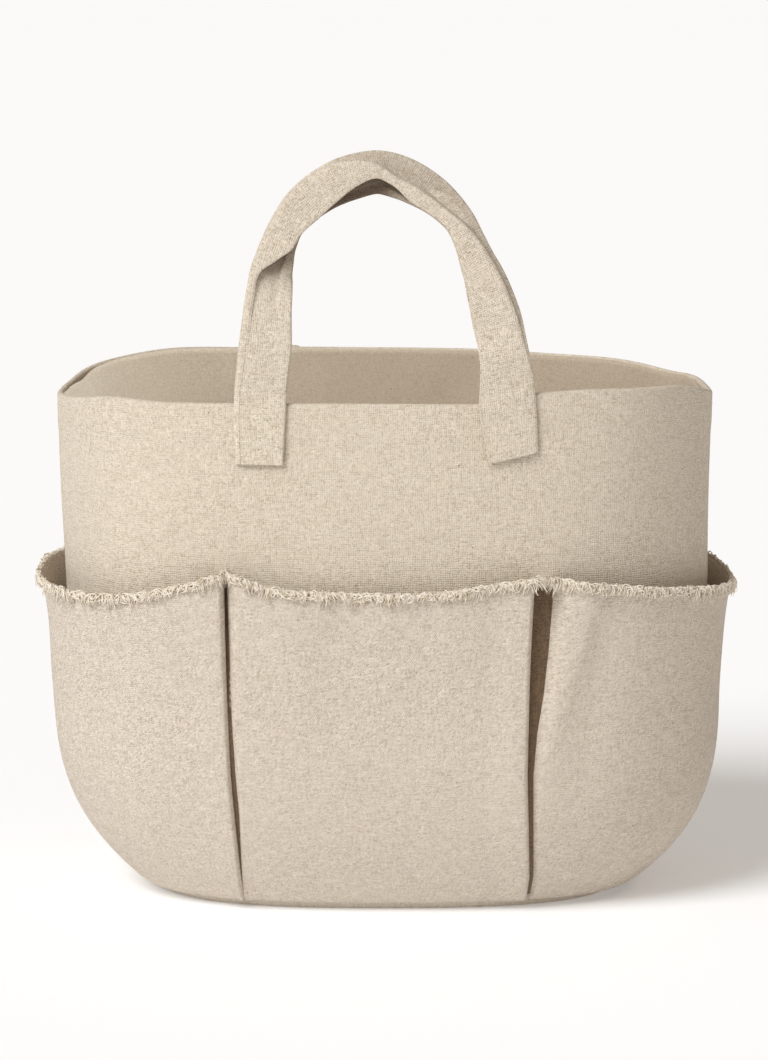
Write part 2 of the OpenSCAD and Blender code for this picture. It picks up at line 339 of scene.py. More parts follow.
class Shader:
    """A material's node tree, with short calls to add nodes to it."""

    def __init__(self, name):
        self.material = bpy.data.materials.new(name)
        self.material.use_nodes = True
        self.tree = self.material.node_tree
        self.principled = self.tree.nodes["Principled BSDF"]

    def add(self, kind, settings=None, **inputs):
        node = self.tree.nodes.new("ShaderNode" + kind)
        for key, value in (settings or {}).items():
            setattr(node, key, value)
        for key, value in inputs.items():
            self.put(node.inputs[key.replace("_", " ")], value)
        return node

    def look(self, **inputs):
        """Sets or links inputs of the material's main shader."""
        for key, value in inputs.items():
            self.put(self.principled.inputs[key.replace("_", " ")], value)
        return self.material

    def put(self, socket, value):
        if isinstance(value, bpy.types.NodeSocket):
            self.tree.links.new(value, socket)
        else:
            socket.default_value = value

    def math(self, operation, a, b=0.0, c=0.0):
        node = self.tree.nodes.new("ShaderNodeMath")
        node.operation = operation
        for socket, value in zip(node.inputs, (a, b, c)):
            self.put(socket, value)
        return node.outputs[0]

    def vector(self, operation, a, b):
        node = self.tree.nodes.new("ShaderNodeVectorMath")
        node.operation = operation
        self.put(node.inputs[0], a)
        self.put(node.inputs[1], b)
        return node.outputs[0]

    def noise(self, vector, scale, detail=2.0):
        return self.add("TexNoise", Vector=vector, Scale=scale, Detail=detail).outputs["Fac"]

    def range(self, value, low, high, to_low=0.0, to_high=1.0):
        node = self.tree.nodes.new("ShaderNodeMapRange")
        node.interpolation_type = "SMOOTHSTEP"
        for key, number in zip(range(5), (value, low, high, to_low, to_high)):
            self.put(node.inputs[key], number)
        return node.outputs[0]

    def blend(self, a, b, share, how="MIX"):
        node = self.tree.nodes.new("ShaderNodeMix")
        node.data_type = "RGBA"
        node.blend_type = how
        self.put(node.inputs[0], share)
        self.put(node.inputs[6], a)
        self.put(node.inputs[7], b)
        return node.outputs[2]


def colour(hex_code):
    """Linear colour from a display colour."""
    parts = [int(hex_code[i : i + 2], 16) / 255 for i in (0, 2, 4)]
    linear = [p / 12.92 if p <= 0.04045 else ((p + 0.055) / 1.055) ** 2.4 for p in parts]
    return (*linear, 1.0)


def flecks(shader, place, cells, size, share):
    """1 on scattered specks: share of the cells of a cell pattern hold one, of about a size."""
    cell = shader.add("TexVoronoi", Vector=place, Scale=cells, Randomness=1.0)
    chosen = shader.add("SeparateColor", Color=cell.outputs["Color"]).outputs["Red"]
    radius = shader.math("MULTIPLY", shader.range(chosen, 1 - share, 1.0), size * cells)
    return shader.range(
        shader.math("SUBTRACT", radius, cell.outputs["Distance"]), 0.0, size * cells * 0.5
    )


def woven(name, yarns, fleck, pitch, twill=0.0, fleck_share=0.75, lift=1.0):
    """Cloth of slubby yarns, of a light, a middle and a dark colour, with plant specks of the
    colour fleck. pitch is the distance between yarns, and twill shifts each row of crossings
    sideways."""
    light, mid, dark = (colour(code) for code in yarns)
    s = Shader(name)
    cloth = s.add("Attribute", {"attribute_name": "cloth"}).outputs["Vector"]
    wander = s.add("TexNoise", Vector=cloth, Scale=1 / (7 * pitch), Detail=2.0).outputs["Color"]
    wander = s.vector("MULTIPLY", wander, (2.2 * pitch, 2.2 * pitch, 0))
    place = s.vector("ADD", cloth, wander)
    axes = s.add("SeparateXYZ", Vector=place)
    row = axes.outputs["Y"]
    column = s.math("ADD", axes.outputs["X"], s.math("MULTIPLY", row, twill))
    crossing = s.add("CombineXYZ", X=column, Y=row).outputs["Vector"]
    waves = [s.math("COSINE", s.math("MULTIPLY", way, math.pi / pitch)) for way in (column, row)]
    weave = s.math("MULTIPLY", *(s.math("ABSOLUTE", wave) for wave in waves))
    knot = s.add("TexVoronoi", Vector=crossing, Scale=1 / pitch, Randomness=0.25)
    knot = s.add("SeparateColor", Color=knot.outputs["Color"])
    slubs = s.math("ADD", *(
        s.noise(s.vector("MULTIPLY", place, long), 0.8 / pitch) for long in ((0.2, 1, 1), (1, 0.2, 1))
    ))
    grain = s.noise(place, 1.1 / pitch, 3.0)
    tone = s.math("MULTIPLY", knot.outputs["Red"], 0.1)
    tone = s.math("ADD", tone, s.math("MULTIPLY", slubs, 0.2))
    tone = s.math("ADD", tone, s.math("MULTIPLY", grain, 0.4))
    tint = s.blend(dark, mid, s.range(tone, 0.34, 0.45))
    tint = s.blend(tint, light, s.range(tone, 0.45, 0.58))
    tint = s.blend(tint, dark, s.range(weave, 0.35, 0.0, 0.0, 0.35))
    broad = s.noise(cloth, 14.0)
    tint = s.blend(tint, mid, s.range(broad, 0.35, 0.7, 0.0, 0.25))
    specks = s.math(
        "MAXIMUM",
        flecks(s, place, 0.15 / pitch, 0.62 * MM, fleck_share),
        s.math("MULTIPLY", flecks(s, place, 0.42 / pitch, 0.42 * MM, fleck_share), 0.55),
    )
    tint = s.blend(tint, colour(fleck), s.math("MULTIPLY", specks, 0.9))
    # Painted shade: where the shade attribute is high, deep in a fold, the cloth is darkened towards
    # a dark shade colour
    shade = s.add("Attribute", {"attribute_name": "shade"}).outputs["Fac"]
    tint = s.blend(tint, colour(PAINTED_FOLD_SHADE), s.math("MULTIPLY", shade, 0.85))
    relief = s.math("MULTIPLY", weave, s.range(knot.outputs["Green"], 0.0, 1.0, 0.5, 1.3))
    height = s.math("ADD", relief, s.math("MULTIPLY", grain, 1.2))
    bump = s.add("Bump", Strength=lift, Distance=0.24 * pitch, Height=height)
    return s.look(
        Normal=bump.outputs["Normal"], Base_Color=tint,
        Roughness=s.range(tone, 0.3, 0.7, 0.95, 0.82), Specular_IOR_Level=0.18,
        Sheen_Weight=0.12, Sheen_Roughness=0.6,
    )


def yarn(name, light, dark):
    """Loose yarn, with tone changes every few millimetres along and between strands."""
    s = Shader(name)
    place = s.add("TexCoord").outputs["Object"]
    share = s.range(s.noise(place, 320.0), 0.3, 0.55)
    bump = s.add("Bump", Strength=0.4, Distance=0.2 * MM, Height=s.noise(place, 2600.0))
    return s.look(
        Normal=bump.outputs["Normal"], Base_Color=s.blend(colour(dark), colour(light), share),
        Roughness=0.95, Specular_IOR_Level=0.1, Sheen_Weight=0.25,
    )


# Colours of the plant specks, and of the painted shade in deep folds. Each cloth has its yarns'
# colours, light to dark, and the pleats' are painted darker as shade, to look as deep as they are
FLECK = "7d6448"
PAINTED_FOLD_SHADE = "5c4733"
CANVAS_CLOTH = woven("canvas", ("ebdfd0", "ddd0be", "c6b6a1"), FLECK, 1.3 * MM)
POCKET_CLOTH = woven("pocket_canvas", ("eadfd2", "dacdbd", "c0b09d"), FLECK, 1.25 * MM, twill=-0.8)
STRAP_CLOTH = woven("strap", ("f0e6d7", "dfd2c0", "c2b29c"), FLECK, 1.3 * MM)
# Painted shade: the pleat channels use the pocket canvas painted dark, for the shadow deep in the
# pleats
PLEAT_PAINTED_SHADE_CLOTH = woven("pleat_canvas_painted_shade", ("8a7258", "75604a", "5f4c39"), FLECK, 1.25 * MM)
LINING_CLOTH = woven(
    "lining", ("d6c8b5", "c8b9a5", "b7a691"), "9c8970", 0.8 * MM, fleck_share=0.25, lift=0.5
)
THREAD = yarn("thread", "ded1bd", "c6b69e")
FRAY = yarn("frayed_yarn", "f0e5d6", "d8c9b2")


# ---- Body, base and lining ----

# Size of the sheets' faces along the rim and up the wall, and radius of the fold at the rim
CLOTH_STEP = 2.2 * MM
ROW_STEP = 3 * MM
FOLD_RADIUS = 0.95 * MM


def wall_heights(first, top):
    """Even rows of heights from first up to top, which has a value for each plan angle."""
    share = np.linspace(0, 1, 1 + round((RIM_Z - first) / ROW_STEP))[:, None]
    return mix(first, top, share)


def body_half(name, start, end):
    """Outside panel from the floor to the rim, where it folds over and runs down as a facing."""
    a = even_turns(start, end, CLOTH_STEP)[None, :]
    rim = rim_height(a)
    centre_z = rim - FOLD_RADIUS - CANVAS / 2
    heights = wall_heights(0, centre_z)
    fold = np.radians(np.linspace(0, 180, 9))[1:, None]
    facing = np.linspace(0, FACING_DEPTH, 8)[1:, None]

    def path(side):
        """Offset and height of the sheet's outside (side 1) or inside (side -1): up the wall,
        round the fold and down the facing."""
        radius = FOLD_RADIUS + side * CANVAS / 2
        middle = -CANVAS / 2 - FOLD_RADIUS
        off = [
            0 * heights + middle + radius,
            0 * a + middle + radius * np.cos(fold),
            0 * a * facing + middle - radius,
        ]
        z = [heights, centre_z + radius * np.sin(fold), centre_z - facing]
        return np.concatenate(off), np.concatenate(z)

    off_out, z_out = path(1)
    off_in, z_in = path(-1)
    hem = 0.35 * MM * smooth(z_out, rim - FACING_DEPTH - 3 * MM, rim - FACING_DEPTH + 2 * MM)
    hem = hem * (off_out > -CANVAS / 2)
    warp = climb(z_out, off_out - FOOT_IN_W * draw_in(z_out))
    outer, inner = wall(a, z_out, off_out + hem), wall(a, z_in, off_in)
    return shell(name, outer, inner, arc_at(a), warp, CANVAS_CLOTH)


def lining_wrinkles(points):
    """How far the lining stands off the wall: soft upright folds, and a bundle of fine slanting
    ones where it is pulled at the back left."""
    x, y, z = points[..., 0], points[..., 1], points[..., 2]
    folds = np.clip(ripples(21, points, 35 * MM, (1, 1, 5)), 0, 2) * 0.7 * MM
    folds = folds + (1 + ripples(22, points, 90 * MM, (1, 1, 1.5))) * 0.9 * MM
    pulled = bell(x, -85 * MM, 16 * MM) * bell(z, 292 * MM, 30 * MM) * (y > 0)
    slant = np.sin(2 * math.pi * (x - 0.45 * z) / (4.6 * MM))
    return folds + pulled * (0.5 + 0.5 * slant) * 0.5 * MM


def lining_half(name, start, end):
    a = even_turns(start, end, CLOTH_STEP)[None, :]
    z = wall_heights(3 * MM, rim_height(a) - LINING_BELOW)
    out = -2 * CANVAS - 2 * LAYER_GAP
    stand = lining_wrinkles(wall(a, z, out))
    outer, inner = wall(a, z, out - stand), wall(a, z, out - LINING - stand)
    return shell(name, outer, inner, arc_at(a), climb(z, FOOT_IN_W * draw_in(z)), LINING_CLOTH)


def floor_disc(name, z, off, thickness, material):
    """Oval of cloth lying at height z inside the wall, with a rounded edge."""
    a = np.radians(np.linspace(-180, 180, 181))[:-1]
    edge = wall(a, z, off)[:, :2]
    size = np.array([1, 0.997, 0.99, 0.96, 0.86, 0.7, 0.5, 0.3, 0.12])
    sink = np.array([0.5, 0.2, 0.05, 0, 0, 0, 0, 0, 0]) * thickness
    # from the middle of the underside out to the edge, and back over the top
    sizes = np.concatenate([size[::-1], size[1:]])
    heights = np.concatenate([z + sink[::-1], z + thickness - sink[1:]])
    rings = [np.column_stack([edge * s, np.full(len(a), h)]) for s, h in zip(sizes, heights)]
    points = np.concatenate(rings)
    cloth = points * [1, 1, 0] + [0.4, 0.4, 0]
    return piece(name, points, ring_faces(len(rings), len(a)), material, cloth)


# ---- Pockets, pleats and frayed mouths ----

# Places of the pleats at a few heights: the left one's fold, then the front pocket's edge and the
# side pocket's edge of the right one, which hangs open at its mouth
PLEAT_Z = np.array([5, 22, 64, 90, 115, 138, 165, 212]) * MM
LEFT_FOLD_X = np.array([-86.5, -88, -91.5, -93.5, -94.5, -95.3, -95.8, -97]) * MM
LEFT_GAP = np.array([0.6, 1.4, 3.6, 3.4, 3.0, 3.0, 3.0, 2.6]) * MM
RIGHT_FOLD_X = np.array([84.5, 86, 84.6, 83.6, 84, 84.6, 85.4, 87.2]) * MM
RIGHT_GAP = np.array([0.6, 1.2, 1.8, 2.6, 4.4, 7.6, 9.6, 11]) * MM

# How far the layers of a pleat lift the crisp edge over them, and the mouth carries it outwards
EDGE_LAYERS = 2.8 * MM
EDGE_FLARE = 6 * MM

# How far the channel behind a gap reaches past the gap's edges, and its depth at the mouth
PLEAT_REACH = 6.5 * MM
PLEAT_DEPTH = 5 * MM


def at_height(values, z):
    return np.interp(z, PLEAT_Z, values)


def flare_share(z, power=FLARE_POWER):
    """How far a pocket has left the body at height z, as a share of how far its mouth stands."""
    share = (z - FLARE_START) / (POCKET_TOP + MOUTH_LIFT - FLARE_START)
    return np.clip(share, 0, 1.1) ** power


def pleat_edges(z, middle, way):
    """Plan angles of the two edges of a pleat at height z: the front or back pocket's, then the
    side pocket's. The crisp one stands far off the wall, which carries it outwards, so it starts
    nearer the middle. The back's pleats are the front's, turned half round."""
    flip = 1 if middle == FRONT else -1
    stand = POCKET_GAP + CANVAS + EDGE_LAYERS + EDGE_FLARE * flare_share(z)
    spread = 1 + stand / (HALF_W - FOOT_IN_W * draw_in(z))
    if way * flip > 0:
        fold, gap = at_height(RIGHT_FOLD_X, z), at_height(RIGHT_GAP, z)
        near, far = fold / spread, fold + gap
    else:
        fold, gap = at_height(LEFT_FOLD_X, z), at_height(LEFT_GAP, z)
        near, far = fold + gap, fold / spread
    return turn_at_x(flip * near, z, middle), turn_at_x(flip * far, z, middle)


# The fray: distance between tufts, yarns in each, and yarns that run along the mouth
TUFT_STEP = 1.25 * MM
TUFT_YARNS = 9
EDGE_YARNS = 12

# Lengths over which an open edge and a crisp edge of a pocket turn in, and the limit between them
FRONT_OPEN = 10 * MM
SIDE_OPEN = 9 * MM
CRISP = 2.4 * MM
CRISP_LIMIT = 4 * MM

# How far the mouths stand out at their open edge, middle and crisp edge
FRONT_FLARES = 5 * MM, 9 * MM, 8.5 * MM
SIDE_FLARES = 8 * MM, 13.4 * MM, 5 * MM


class Pocket:
    """One pocket panel. u runs from -1 to 1 across it, in the direction of growing plan angle.
    flares say how far its mouth stands out at its first edge, middle and last edge. The two edges
    turn in to the body over the lengths in rolls. bunches are the ends, -1 or 1, where the fray
    gathers."""

    def __init__(self, name, middle, flares, rolls, bunches, seed):
        self.name, self.middle, self.seed = name, middle, seed
        self.flares, self.rolls, self.bunches = flares, rolls, bunches
        self.is_side = middle in (RIGHT, LEFT)
        # more columns near the edges, where the cloth rolls in
        even = np.linspace(-1, 1, 190 if self.is_side else 130)
        self.u = np.sign(even) * (1 - (1 - np.abs(even)) ** 1.5)

    def edges(self, z):
        if self.middle == FRONT:
            return pleat_edges(z, FRONT, -1)[0], pleat_edges(z, FRONT, 1)[0]
        if self.middle == BACK:
            return pleat_edges(z, BACK, 1)[0], pleat_edges(z, BACK, -1)[0]
        if self.middle == RIGHT:
            return pleat_edges(z, FRONT, 1)[1], pleat_edges(z, BACK, 1)[1]
        return pleat_edges(z, BACK, -1)[1], pleat_edges(z, FRONT, -1)[1] + 2 * math.pi

    def mouth(self, u):
        """Height of the mouth."""
        low = POCKET_TOP - SIDE_DROP if self.is_side else POCKET_TOP
        top = mix(low, POCKET_TOP + MOUTH_SAG, np.abs(u) ** (4 if self.is_side else 2))
        places = np.stack([u, 0 * u, 0 * u], axis=-1)
        wave = 0.9 * MM * ripples(self.seed, places, 0.5)
        if self.middle == RIGHT:
            wave = wave + 3 * MM * bell(u, -0.72, 0.3) - 5 * MM * bell(u, 0, 0.3)
            wave = wave - 4 * MM * bell(u, -1, 0.13)
        if self.middle == LEFT:
            wave = wave - 1.5 * MM * bell(u, 0.6, 0.2)
        return top + MOUTH_LIFT + wave

    def stand(self, u, z):
        """How far the pocket's inside stands off the wall, apart from its rolled edges."""
        side = mix(self.flares[0], self.flares[2], (u > 0) * 1.0)
        reach = mix(self.flares[1], side, u * u)
        places = np.stack(np.broadcast_arrays(u * 0.1, 0.0, z), axis=-1)
        slack = smooth(z, 20 * MM, 150 * MM)
        fullness = (1 - u * u) * self.is_side
        wave = 1.1 * MM * ripples(self.seed + 1, places, 60 * MM, (1, 1, 2.4)) * slack
        if self.middle == RIGHT:
            # a slanting ridge and a hollow beside the open pleat, and a full foot
            ridge = -0.955 + 0.045 * smooth(z, 100 * MM, 200 * MM)
            wave = wave + 1.5 * MM * bell(u, ridge, 0.035) * smooth(z, 30 * MM, 190 * MM)
            wave = wave - 1.2 * MM * bell(u, -0.84, 0.05) * slack
            wave = wave + 0.8 * MM * bell(u, -0.66, 0.1) * slack
            wave = wave + 4.5 * MM * bell(z, 30 * MM, 40 * MM) * fullness
        if self.middle == LEFT:
            wave = wave - 1.6 * MM * bell(u, 0.62, 0.024) * slack * smooth(z, 90 * MM, 150 * MM)
        flare = reach * flare_share(z, FLARE_POWER + 0.5 * fullness)
        return POCKET_GAP + 1.3 * MM * fullness + flare + wave

    def folded_edges(self, along, start, end):
        """Extra stand-off beside a crisp edge, where the pleat's layers lie under it."""
        total = 0
        for gap, roll in ((along - start, self.rolls[0]), (end - along, self.rolls[1])):
            if roll < CRISP_LIMIT:
                total = total + EDGE_LAYERS * smooth(gap, 26 * MM, 2 * MM)
        return total

    def surface(self, u, z, out):
        """Point of the panel, and its place along the rim. out is 0 for its inside and 1 for its
        outside. A crisp edge goes straight back to the body, and an open one curves in to it."""
        first, last = self.edges(z)
        start, end = arc_at(first), arc_at(last)
        along = mix(start, end, (u + 1) / 2)
        stand = self.stand(u, z) + CANVAS + self.folded_edges(along, start, end)
        edge = 0.5 * MM
        half_w = HALF_W - FOOT_IN_W * draw_in(z)
        straight_in = 1.0
        for gap, roll in ((along - start, self.rolls[0]), (end - along, self.rolls[1])):
            crisp = roll < CRISP_LIMIT
            if not crisp:
                roll = roll * (0.35 + 0.65 * smooth(z, 50 * MM, 150 * MM))
            near = np.clip(1 - gap / roll, 0, 1)
            before = stand
            stand = edge + (stand - edge) * (1 - near ** 2) ** (0.45 if crisp else 0.8)
            if crisp:
                straight_in = (half_w + before) / (half_w + stand)
        turned_in = smooth(z, POCKET_BOTTOM + 4 * MM, POCKET_BOTTOM)
        stand = stand - 0.9 * MM * turned_in
        thick = np.minimum(CANVAS, stand - 0.2 * MM)
        points = wall(turn_at(along), z, stand - thick * (1 - out))
        points[..., 0] *= straight_in
        return points, along

    def build(self):
        u = self.u[None, :]
        rise = np.linspace(0, 1, 92)[:, None]
        z = mix(POCKET_BOTTOM, self.mouth(u), rise)
        outer, along = self.surface(u, z, 1)
        inner, _ = self.surface(u, z, 0)
        warp = z + 0.5 * FOOT_IN_W * (1 - draw_in(z))
        return shell(self.name, outer, inner, along, warp, POCKET_CLOTH)

    def flat_size(self):
        """Width along the band half way up, and height, of the panel before it was sewn on."""
        half_way = self.surface(self.u, np.full_like(self.u, POCKET_TOP / 2), 1)[0]
        return path_length(half_way), POCKET_TOP + MOUTH_LIFT - POCKET_BOTTOM

    def fray(self):
        """Loose yarns along the raw mouth: tufts that stand up and curl over it, longer bunches
        where two pockets meet, and the last few yarns that still run along it."""
        rng = np.random.default_rng(self.seed + 50)
        first, last = self.edges(POCKET_TOP)
        length = arc_at(last) - arc_at(first)
        tufts = int(length / TUFT_STEP)
        centre = np.linspace(-1, 1, tufts) + rng.normal(0, 0.4 * TUFT_STEP / length, tufts)
        line = np.stack([centre * length / 2, 0 * centre, 0 * centre], axis=-1)
        lumps = ripples(self.seed + 60, line, 11 * MM)
        tuft_drop = 4.5 + 1.3 * lumps + rng.gamma(1.2, 0.7, tufts)
        tuft_reach = 2.3 + 0.6 * lumps + rng.normal(0, 0.4, tufts)
        for end in self.bunches:
            near = bell(centre, end, 9 * MM / length)
            tuft_drop, tuft_reach = tuft_drop + 3.5 * near, tuft_reach + 2.2 * near
        tuft_swing = rng.normal(0, 1.4, tufts)
        own = np.repeat(np.arange(tufts), TUFT_YARNS)
        count = len(own)
        u = np.clip(centre[own] + rng.normal(0, 0.8 * MM / length, count), -1, 1)
        drop = (tuft_drop[own] * rng.uniform(0.35, 1.15, count)).clip(0.3, 10) * MM
        reach = (tuft_reach[own] + rng.normal(0, 0.55, count)) * MM
        lift = np.clip(rng.normal(1.5, 0.6, count), 0.1, 3.2) * MM
        swing = (tuft_swing[own] + rng.normal(0, 0.8, count)) * MM
        for end in self.bunches:
            swing = swing - end * 6.5 * MM * bell(u, end, 8 * MM / length)
        out = self.surface(u, self.mouth(u), 1)[0] - self.surface(u, self.mouth(u), 0)[0]
        out = unit(out * [1, 1, 0])
        root = self.surface(u, self.mouth(u) - 0.4 * MM, rng.uniform(0, 1, count))[0]
        steps = np.linspace(0, 1, 7)[None, :, None]
        bow = np.sin(math.pi * np.clip(steps * 1.15, 0, 1))
        curl = np.sin(math.pi * steps * rng.uniform(1.2, 3.4, count)[:, None, None])
        reach, drop, lift, swing = (v[:, None, None] for v in (reach, drop, lift, swing))
        path = (
            root[:, None]
            + out[:, None] * (reach * (1 - (1 - steps) ** 2) - 0.8 * MM * steps ** 3)
            + np.array([0, 0, 1]) * (lift * bow - drop * steps ** 1.5)
            + np.cross(out, [0, 0, 1])[:, None] * (swing * steps + 0.8 * MM * curl)
        )
        taper = np.array([1, 1, 1, 1, 0.95, 0.8, 0.45])
        parts = [tubes(path, rng.uniform(0.18, 0.34, count)[:, None] * MM * taper, 4)]
        parts += [self.edge_yarn(k, length) for k in range(EDGE_YARNS)]
        groups, start = [], 0
        for points, faces in parts:
            groups += [f + start for f in faces]
            start += len(points)
        return piece(self.name + "_fray", np.concatenate([p for p, _ in parts]), groups, FRAY)

    def edge_yarn(self, k, length):
        """One of the yarns that run along the mouth, in a loose rope outside its edge."""
        u = np.linspace(-0.99, 0.99, int(length / (1.2 * MM)))
        line = np.stack([u * length / 2, 0 * u + k, 0 * u], axis=-1)
        turn = k / EDGE_YARNS + 0.45 * ripples(self.seed + 70 + k, line, 14 * MM)
        turn = 2 * math.pi * turn
        far = 0.9 + 0.5 * ripples(self.seed + 80 + k, line, 6 * MM)
        z = self.mouth(u) + (-1.6 + 2.2 * far * np.sin(turn)) * MM
        level = 1.3 + 0.8 * far * np.cos(turn)
        path = self.surface(u, z, level)[0]
        return tubes(path[None], np.full((1, len(u)), 0.42 * MM), 5)


def pleat(name, middle, way):
    """Channel of cloth behind the gap between two pockets, sewn to the body along its floor, and
    its flat width and height."""
    z = np.linspace(POCKET_BOTTOM + 4 * MM, POCKET_TOP + MOUTH_SAG - 5 * MM, 90)[:, None]
    near, far = pleat_edges(z, middle, way)
    low, high = np.minimum(arc_at(near), arc_at(far)), np.maximum(arc_at(near), arc_at(far))
    half = (high - low) / 2 + PLEAT_REACH
    across = np.linspace(-1, 1, 25)[None, :]
    along = (low + high) / 2 + across * half
    sides = smooth(np.abs(across), 0.62, 1.0) * (PLEAT_DEPTH * flare_share(z) + 0.3 * MM)
    crease = 0.25 * MM * np.cos(across * math.pi * 2)
    stand = 0.4 * MM + sides + crease
    outer = wall(turn_at(along), z, stand + CANVAS * 0.8)
    inner = wall(turn_at(along), z, stand - 0.1 * MM)
    # The channel's cloth is painted dark as shade
    channel = shell(name, outer, inner, along, z + 0 * along, PLEAT_PAINTED_SHADE_CLOTH)
    return channel, (path_length(outer[len(z) // 2]), z[-1, 0] - z[0, 0])


# ---- Handles ----

# Outer edge of the standing front strap, from the sewn end at the left over the crown to the one
# at the right. Each row is a section: x and height above the rim of its outer edge, its width,
# how far in its crease lies and how far in the front layer's edge lies, the level of that layer,
# how far it is hollow underneath, and the levels of the layer behind, the inner and the outer edge
STRAP_STATIONS = np.array([
    # x, height, width, crease, layer, level, hollow, behind, inner, outer
    [-89.5, -35.5, 29, 0.6, 4, 1.5, 0, 1.5, 1.5, 0],
    [-89.9, -16, 30, 0.6, 4, 1.5, 0, 1.5, 1.5, 0],
    [-89.9, 3, 31, 0.6, 4.4, 1.5, 0, 1.5, 1.5, 0],
    [-88.4, 20, 31, 0.6, 5, 1.5, 0, 1.5, 1.5, 0],
    [-86.4, 37, 30.8, 0.6, 5.4, 1.6, 0, 1.5, 1.5, 0],
    [-84.4, 53, 29, 0.6, 5.4, 2, 0, 1.2, 1.5, 0.2],
    [-82.4, 66, 27.4, 0.6, 5.2, 2.7, 0.4, 0.8, 1.4, 0.4],
    [-80.7, 75.5, 26, 0.6, 5.2, 3.8, 2, 0.1, 1, 0.6],
    [-79.2, 81.5, 25, 0.6, 7, 4.8, 4, -0.6, 0.5, 0.8],
    [-76.2, 89.6, 23.2, 0.6, 12.6, 5.8, 8, -1.4, 0, 1],
    [-72.2, 99.4, 20.8, 0.6, 18.8, 6.4, 11, -2, -0.8, 1],
    [-67.6, 109.6, 20.4, 0.6, 19.8, 6.4, 12, -2.6, -1.8, 0.8],
    [-57.5, 124.6, 23.9, 0.8, 23.2, 6.2, 13, -4, -3.6, 0.4],
    [-43, 137, 25.8, 1, 22.6, 6, 12, -6, -6.5, 0],
    [-26, 145.4, 27, 2, 19.4, 5.8, 10, -7, -8.5, -0.4],
    [-5.5, 149, 26, 7, 16, 5.4, 9, -5.4, -6.5, -1.4],
    [12, 145, 25.4, 12.2, 18.6, 5, 7, -3.4, -2.6, -2.8],
    [26, 137.4, 23.8, 12, 21.8, 4.8, 6, -1.4, -0.6, -4],
    [38, 127.6, 21.2, 11.4, 20.4, 4.6, 4, 0.4, 1.2, -4.8],
    [49.6, 113.2, 18.2, 7.8, 17.4, 4.2, 2, 1, 1.8, -5],
    [56.6, 99.8, 18.4, 3.6, 17.8, 3.8, 1, 1.3, 1.9, -4.8],
    [63, 88, 21.4, 2.2, 20.9, 3.2, 0.5, 1.5, 1.9, -4.6],
    [68.9, 77.6, 24.8, 2.4, 24.2, 2.7, 0, 1.5, 1.6, -4.6],
    [74, 66.5, 26.9, 2.6, 26.4, 2.3, 0, 1.5, 1.5, -4.6],
    [78.6, 53, 28.4, 2.2, 28, 2, 0, 1.5, 1.5, -3.6],
    [82.4, 35.5, 28.6, 1.2, 28, 1.8, 0, 1.5, 1.5, -1.4],
    [86, 18, 31.2, 0.6, 30.6, 1.6, 0, 1.5, 1.5, 0],
    [87.8, 4, 33.6, 0.6, 33, 1.5, 0, 1.5, 1.5, 0],
    [88.6, -14, 31.6, 0.6, 31, 1.5, 0, 1.5, 1.5, 0],
    [89.2, -29, 29.2, 0.6, 28.6, 1.5, 0, 1.5, 1.5, 0],
])


def spline(values, steps):
    """Even samples of a smooth curve through rows of values, steps to each stretch. Its tangents
    allow for uneven spacing, so that close points make a crisp turn and no loop."""
    before = np.vstack([2 * values[0] - values[1], values, 2 * values[-1] - values[-2]])
    gaps = np.sqrt(np.linalg.norm(np.diff(before, axis=0), axis=1)) + 1e-9
    share = np.arange(steps)[:, None] / steps
    rows = []
    for k in range(1, len(values)):
        p, q, r, s = before[k - 1 : k + 3]
        a, b, c = gaps[k - 1 : k + 2]
        leave = b * ((q - p) / a - (r - p) / (a + b)) + r - q
        reach = b * ((s - r) / c - (s - q) / (b + c)) + r - q
        cubic, square = 2 * (q - r) + leave + reach, 3 * (r - q) - 2 * leave - reach
        rows.append(q + share * (leave + share * (square + share * cubic)))
    return np.vstack(rows + [values[-1:]])


def strap_section(width, crease, layer, level, hollow, behind, inner, outer):
    """Closed outline of the strap's section: distance in from its outer edge, and distance
    forward from its middle plane. The strap is two layers of cloth, which part where it folds."""
    back = min(-1.5, inner - 3.0, behind - 1.6)
    rise = outer + 0.9
    fold = crease + 0.9
    under = max(layer - hollow, 1.5)
    step = mix(under, width, 0.66)
    tuck = 0.3 * min(hollow, 1.0)
    parted = 0.3 * min(max(level - behind, 0.0), 1.0)
    return np.array([
        # outer edge and crease
        [0.0, outer], [0.3, outer + 0.8], [0.1 + 0.5 * crease, outer + 1.0],
        [0.92 * crease, mix(rise, level, 0.1)], [0.3 + crease, mix(rise, level, 0.6)],
        # front layer and its edge
        [fold, level], [mix(fold, layer, 0.35), level + 0.25],
        [mix(fold, layer, 0.7), level + 0.2], [layer - 0.7, level],
        [layer, level - parted - tuck], [layer - tuck, mix(level, behind, 0.5)],
        [mix(layer, under, 0.5), mix(level, behind, 0.8)],
        # layer behind, out to the inner edge
        [under + 0.3, behind], [mix(under, step, 0.6), behind],
        [step - 0.3, mix(behind, inner, 0.2) - 0.8 * tuck], [step + 0.7, inner],
        [mix(step, width, 0.6), inner + 0.1], [width - 0.7, inner], [width, inner - 0.8],
        # the strap's back
        [width, inner - 2.2], [width - 0.8, inner - 3.0],
        [width * 0.75, mix(back, inner - 3.0, 0.6)], [width * 0.5, back],
        [width * 0.25, mix(back, outer - 1.6, 0.5)], [0.8, outer - 1.5], [0.1, outer - 0.8],
    ])


# Places on that outline, counted in corners: the end of the crease, and the layer behind
CREASE_END = 4.4
BEHIND_FROM, BEHIND_TO = 8.5, 18.4

# Samples to each stretch along the strap and round its section
STEPS_ALONG = 9
STEPS_ROUND = 3


